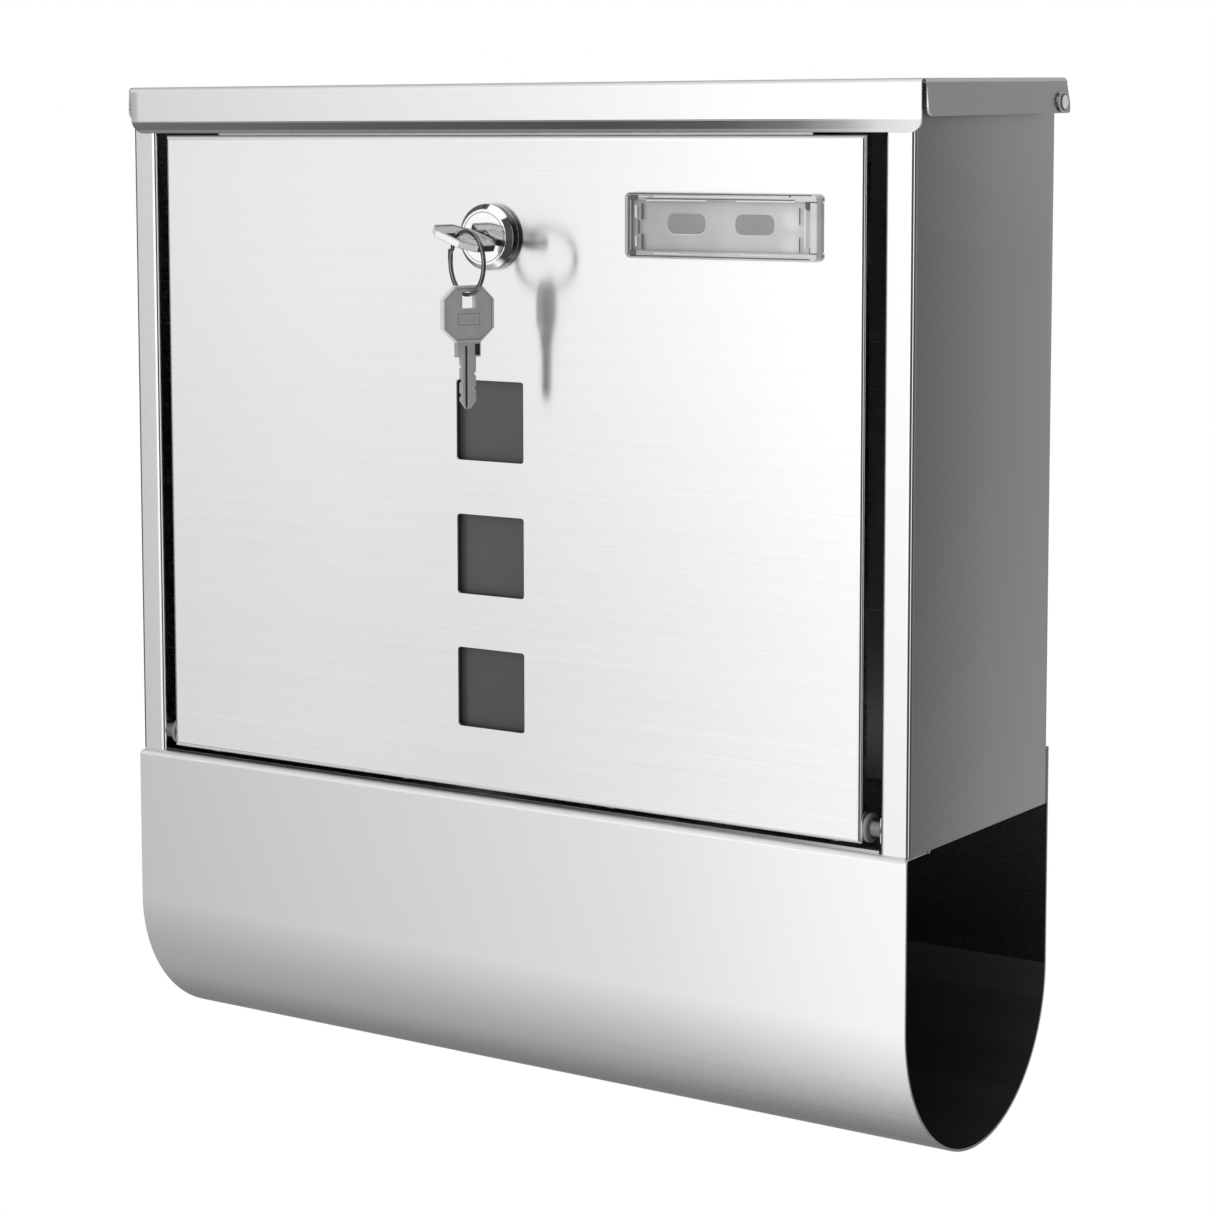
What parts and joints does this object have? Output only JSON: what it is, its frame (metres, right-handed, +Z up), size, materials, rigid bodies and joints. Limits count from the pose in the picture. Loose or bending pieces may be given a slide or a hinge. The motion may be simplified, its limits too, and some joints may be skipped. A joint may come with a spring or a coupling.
{
  "type": "wall mounted mailbox",
  "caption": "Wall mounted steel mailbox with a hinged lid, a locking drop-down door, windows, a name plate and a newspaper roll below.",
  "frame": {"origin": "centre of the four wall holes, on the plane of the stand-offs that touches the wall", "axes": "+Z up, +Y into the wall, +X to the right for someone facing the door"},
  "size_m": [0.3102, 0.1271, 0.3278],
  "materials": {
    "body_steel": "fine horizontal brushing",
    "door_steel": "fine horizontal brushing",
    "roll_steel": "fine brushing outside, dark inside",
    "fastener_steel": "plated",
    "washer_plastic": "moulded",
    "gasket_foam": "closed-cell foam",
    "window_smoked": "smoked, glossy",
    "lock_chrome": "polished",
    "wafer_brass": "stamped",
    "key_nickel": "nickel plated, tumbled",
    "plate_clear": "clear moulded"
  },
  "bodies": {
    "box": {"body_shell": "body_steel", "bottom_panel": "body_steel", "header_rail": "body_steel", "newspaper_roll": "roll_steel", "roll_rivets": "fastener_steel", "lid_hinge_rivets": "fastener_steel", "lid_hinge_washer": "fastener_steel", "door_hinge_pins": "fastener_steel", "door_hinge_washers": "washer_plastic"},
    "lid": {"lid": "body_steel"},
    "door": {"door": "door_steel", "window_gasket": "gasket_foam", "window_pane": "window_smoked", "lock_body": "lock_chrome", "lock_nut": "fastener_steel", "name_plate_base": "plate_clear"},
    "lock_plug": {"lock_plug": "lock_chrome", "lock_wafers": "wafer_brass", "lock_cam": "fastener_steel", "cam_washer": "fastener_steel", "cam_screw": "fastener_steel"},
    "key_in_lock": {"key_in_lock": "key_nickel"},
    "key_ring": {"key_ring": "key_nickel"},
    "hanging_key": {"hanging_key": "key_nickel"},
    "name_plate_cover": {"name_plate_cover": "plate_clear"}
  },
  "joints": [
    {"name": "lid_open", "type": "hinge", "parent": "box", "child": "lid", "pos_m": [0, -0.00989, 0.10799], "axis": [-1, 0, 0], "range_deg": [0, 90]},
    {"name": "door_open", "type": "hinge", "parent": "box", "child": "door", "pos_m": [0, -0.0926, -0.1061], "axis": [1, 0, 0], "range_deg": [0, 100]},
    {"name": "lock_turn", "type": "hinge", "parent": "door", "child": "lock_plug", "pos_m": [0.001, -0.1016, 0.0663], "axis": [0, 1, 0], "range_deg": [-20, 70]},
    {"name": "key_withdraw", "type": "slide", "parent": "lock_plug", "child": "key_in_lock", "axis": [0, -1, 0], "range_m": [0, 0.022]},
    {"name": "ring_swing", "type": "hinge", "parent": "key_in_lock", "child": "key_ring", "pos_m": [0.00712, -0.11837, 0.05895], "axis": [0.3746, 0.9272, 0], "range_deg": [-75, 25]},
    {"name": "hanging_key_swing", "type": "hinge", "parent": "key_ring", "child": "hanging_key", "pos_m": [0.00712, -0.11837, 0.04925], "axis": [0.9272, -0.3746, 0], "range_deg": [-45, 28]},
    {"name": "label_cover_slide", "type": "slide", "parent": "door", "child": "name_plate_cover", "axis": [1, 0, 0], "range_m": [0, 0.03]}
  ],
  "couplings": [
    {"joint": "ring_swing", "follows": "lock_turn", "ratio": -1}
  ]
}
